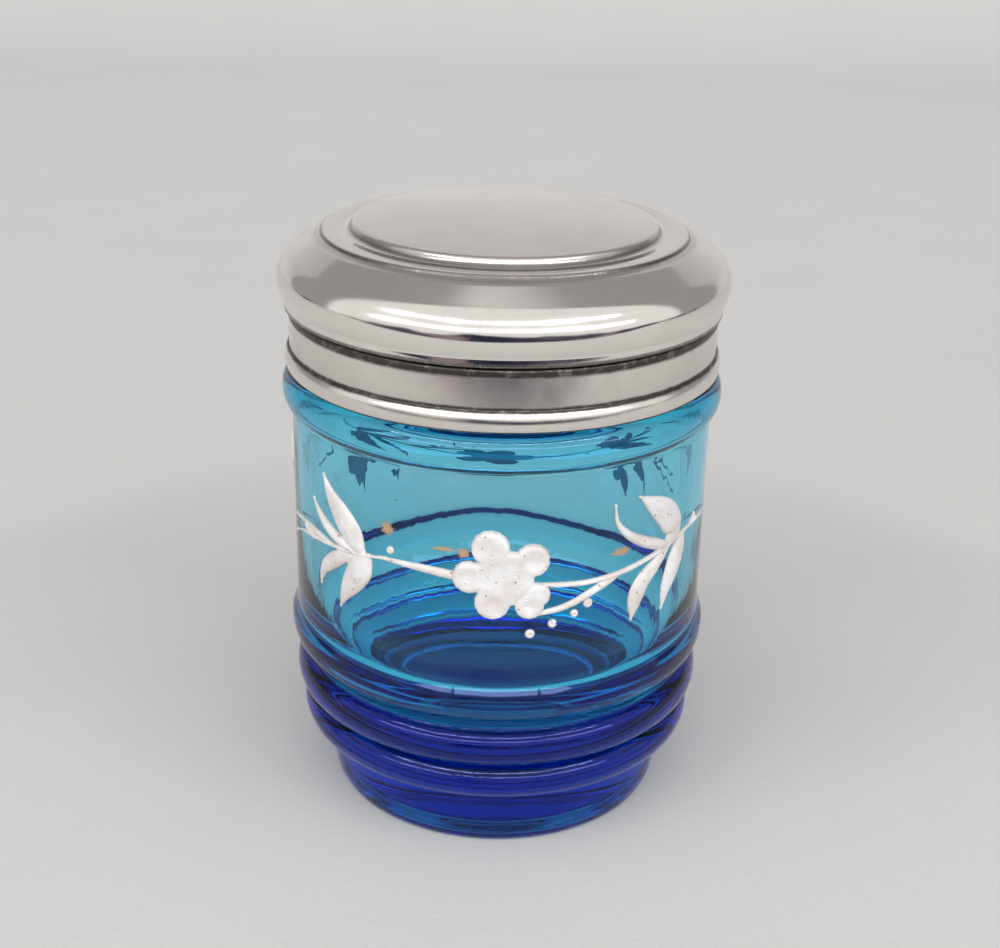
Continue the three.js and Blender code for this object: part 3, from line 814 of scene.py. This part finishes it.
tone = calc(tree, "ADD", calc(tree, "MULTIPLY", fibre, 0.6), calc(tree, "MULTIPLY", broad, 0.4))
near_tone = between(tree, tone, (0.52, 0.515, 0.51, 1), (0.6, 0.595, 0.59, 1))
far_tone = between(tree, tone, (0.62, 0.615, 0.61, 1), (0.7, 0.695, 0.69, 1))
behind = ramp_of(tree, node(tree, "SeparateXYZ", Vector=place).outputs["Y"], 0.0, 0.6)
tree.links.new(between(tree, behind, near_tone, far_tone), surface.inputs["Base Color"])
surface.inputs["Roughness"].default_value = 0.9
bump = node(tree, "Bump", Strength=0.3, Distance=0.0003, Height=fibre)
tree.links.new(bump.outputs[0], surface.inputs["Normal"])
mesh = bpy.data.meshes.new("floor")
sheet.to_mesh(mesh)
sheet.free()
mesh.shade_smooth()
mesh.materials.append(paper)
floor = bpy.data.objects.new("floor", mesh)
bpy.context.scene.collection.objects.link(floor)
print("floor reaches from", round(min(v.co.y for v in mesh.vertices), 3), "m in front")

# %% [markdown]
# Light: the room is bright on the camera's side, as in front of a wide window wall, and dim behind the jar.
# That even light has no falloff, so the paper stays one tone. The dim floor of the room lies past the
# table's front edge, and the metal mirrors it as a dark broken band between window and paper. Two rows of
# long lamps are the window's brightest parts, and draw the thin white lines along the glass rings. The
# camera itself sees a pale wall past the paper's edges.

# %% Lamps and room


def soft_box(name, place, aim, width, height, watts, colour):
    """A rectangular area lamp that points at a place."""
    lamp = bpy.data.lights.new(name, "AREA")
    lamp.shape, lamp.size, lamp.size_y, lamp.energy, lamp.color = "RECTANGLE", width, height, watts, colour
    holder = bpy.data.objects.new(name, lamp)
    bpy.context.scene.collection.objects.link(holder)
    direction = Vector(aim) - Vector(place)
    holder.matrix_world = Matrix.Translation(place) @ direction.to_track_quat("-Z", "Y").to_matrix().to_4x4()
    return holder


jar_middle, lamp_width, daylight = (0, 0, 0.04), 0.78, (1.0, 0.99, 0.97)
for side, turn in (("left", -44), ("middle", 0), ("right", 44)):
    swing = math.radians(turn)
    for row, height, tall, watts in (("high", 0.95, 0.08, 3.6), ("low", 0.37, 0.11, 1.5)):
        place = (math.sin(swing), -math.cos(swing), height)
        soft_box(f"window_{row}_{side}", place, jar_middle, lamp_width, tall, watts, daylight)
print("lamps:", len(bpy.data.lights))

room = bpy.data.worlds.new("room")
bpy.context.scene.world = room
room.use_nodes = True
tree = room.node_tree
way = node(tree, "TexCoord").outputs["Generated"]
parts = node(tree, "SeparateXYZ", Vector=way)
clutter = node(tree, "TexNoise", Vector=way, Scale=2.2, Detail=2.0).outputs["Fac"]
in_front = ramp_of(tree, parts.outputs["Y"], 0.12, 0.05)
wavy = calc(tree, "MULTIPLY_ADD", calc(tree, "SUBTRACT", clutter, 0.5), 0.5)
tree.links.new(parts.outputs["Z"], wavy.node.inputs[2])
above = ramp_of(tree, wavy, -0.08, -0.04)
wall = between(tree, in_front, (0.34, 0.33, 0.335, 1), (0.88, 0.87, 0.86, 1))
clutter = steps_of(tree, clutter, [(0.42, 0.0), (0.6, 1.0)])
ground = between(tree, clutter, (0.02, 0.02, 0.05, 1), (0.28, 0.2, 0.22, 1))
seen = between(tree, above, ground, wall)
straight = node(tree, "LightPath").outputs["Is Camera Ray"]
backdrop = tree.nodes["Background"]
tree.links.new(between(tree, straight, seen, (0.63, 0.625, 0.615, 1)), backdrop.inputs["Color"])
backdrop.inputs["Strength"].default_value = 1.0
bpy.context.scene.view_settings.view_transform = "Standard"

# %% [markdown]
# The camera looks down on the jar by about 22 degrees from some 27 centimetres, turned by a hair, as the
# picture was taken. Its lens is a little longer than normal, so the sides hardly converge.

# %% Camera
camera = bpy.data.cameras.new("camera")
camera.sensor_width = 36
camera.lens = 57.6
view = bpy.data.objects.new("camera", camera)
bpy.context.scene.collection.objects.link(view)
camera_back, camera_height = 0.226, 0.1426
down, roll = math.radians(22.46), math.radians(1.2)
tilted, rolled = Matrix.Rotation(math.radians(90) - down, 4, "X"), Matrix.Rotation(roll, 4, "Z")
view.matrix_world = Matrix.Translation((0, -camera_back, camera_height)) @ tilted @ rolled
bpy.context.scene.camera = view
print("camera at", [round(v, 4) for v in view.matrix_world.translation])
